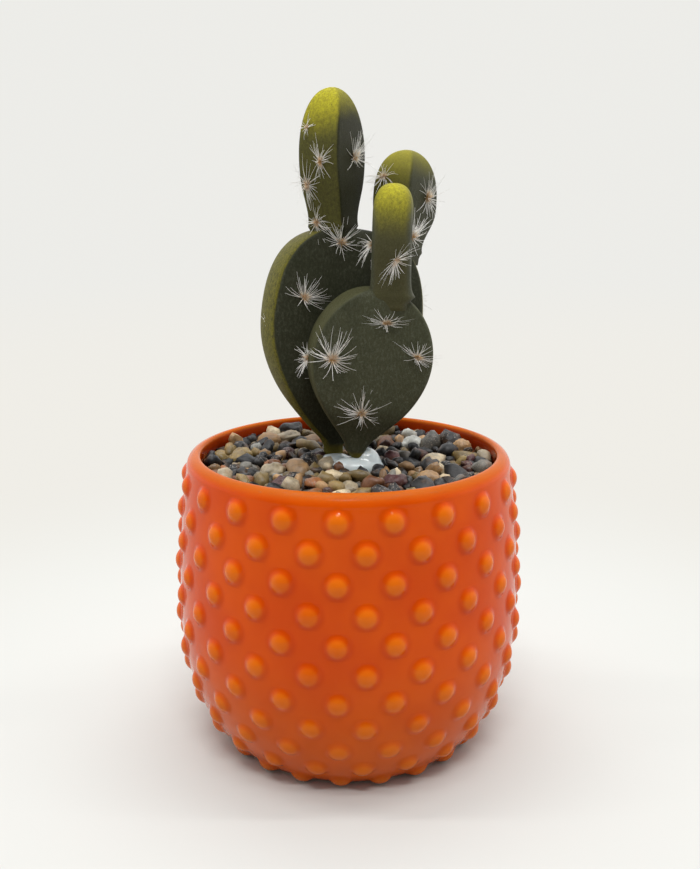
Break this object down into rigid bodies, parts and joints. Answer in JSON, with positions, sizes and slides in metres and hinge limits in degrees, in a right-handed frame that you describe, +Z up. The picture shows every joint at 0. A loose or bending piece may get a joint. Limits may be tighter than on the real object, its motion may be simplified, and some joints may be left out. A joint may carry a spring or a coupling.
{
  "type": "potted artificial prickly pear",
  "caption": "Small artificial prickly pear cactus of stacked oval pads with spine tufts, glued into gravel in a round glazed pot covered with raised dots.",
  "frame": {"origin": "centre of the pot's underside, on the surface that it stands on", "axes": "+Z up along the pot's axis, -Y towards the side the smaller front pad faces, +X to the right of a viewer standing on the -Y side"},
  "size_m": [0.1199, 0.1197, 0.218],
  "materials": {
    "orange_glaze": "glossy orange glaze, thinner and paler on the raised dots",
    "foam": "dry rigid foam",
    "gravel": "tumbled mixed pebbles, satin",
    "large_stones": "tumbled pebbles, satin",
    "hot_melt_glue": "cloudy, glossy",
    "pad_skin": "dusty grey-green paint, yellow-green at the tips",
    "bristles": "fine pale nylon"
  },
  "bodies": {
    "root": {"foam_core": "foam", "front_pad": "pad_skin", "front_pad_tuft_1": "bristles", "front_pad_tuft_2": "bristles", "front_pad_tuft_3": "bristles", "front_pad_tuft_4": "bristles", "front_pad_tuft_5": "bristles", "front_pad_tuft_6": "bristles", "front_pad_tuft_7": "bristles", "front_upper_pad": "pad_skin", "front_upper_pad_tuft_1": "bristles", "front_upper_pad_tuft_2": "bristles", "front_upper_pad_tuft_3": "bristles", "glue_puddle": "hot_melt_glue", "gravel_bed": "gravel", "large_stone_1": "large_stones", "large_stone_10": "large_stones", "large_stone_2": "large_stones", "large_stone_3": "large_stones", "large_stone_4": "large_stones", "large_stone_5": "large_stones", "large_stone_6": "large_stones", "large_stone_7": "large_stones", "large_stone_8": "large_stones", "large_stone_9": "large_stones", "pot": "orange_glaze", "rear_pad": "pad_skin", "rear_pad_tuft_1": "bristles", "rear_pad_tuft_2": "bristles", "rear_pad_tuft_3": "bristles", "rear_pad_tuft_4": "bristles", "rear_pad_tuft_5": "bristles", "rear_pad_tuft_6": "bristles", "rear_pad_tuft_7": "bristles", "rear_pad_tuft_8": "bristles", "rear_pad_tuft_9": "bristles", "rear_right_upper_pad": "pad_skin", "rear_right_upper_pad_tuft_1": "bristles", "rear_right_upper_pad_tuft_2": "bristles", "rear_right_upper_pad_tuft_3": "bristles", "tall_upper_pad": "pad_skin", "tall_upper_pad_tuft_1": "bristles", "tall_upper_pad_tuft_2": "bristles", "tall_upper_pad_tuft_3": "bristles", "tall_upper_pad_tuft_4": "bristles", "tall_upper_pad_tuft_5": "bristles", "tall_upper_pad_tuft_6": "bristles", "tall_upper_pad_tuft_7": "bristles"}
  },
  "joints": []
}
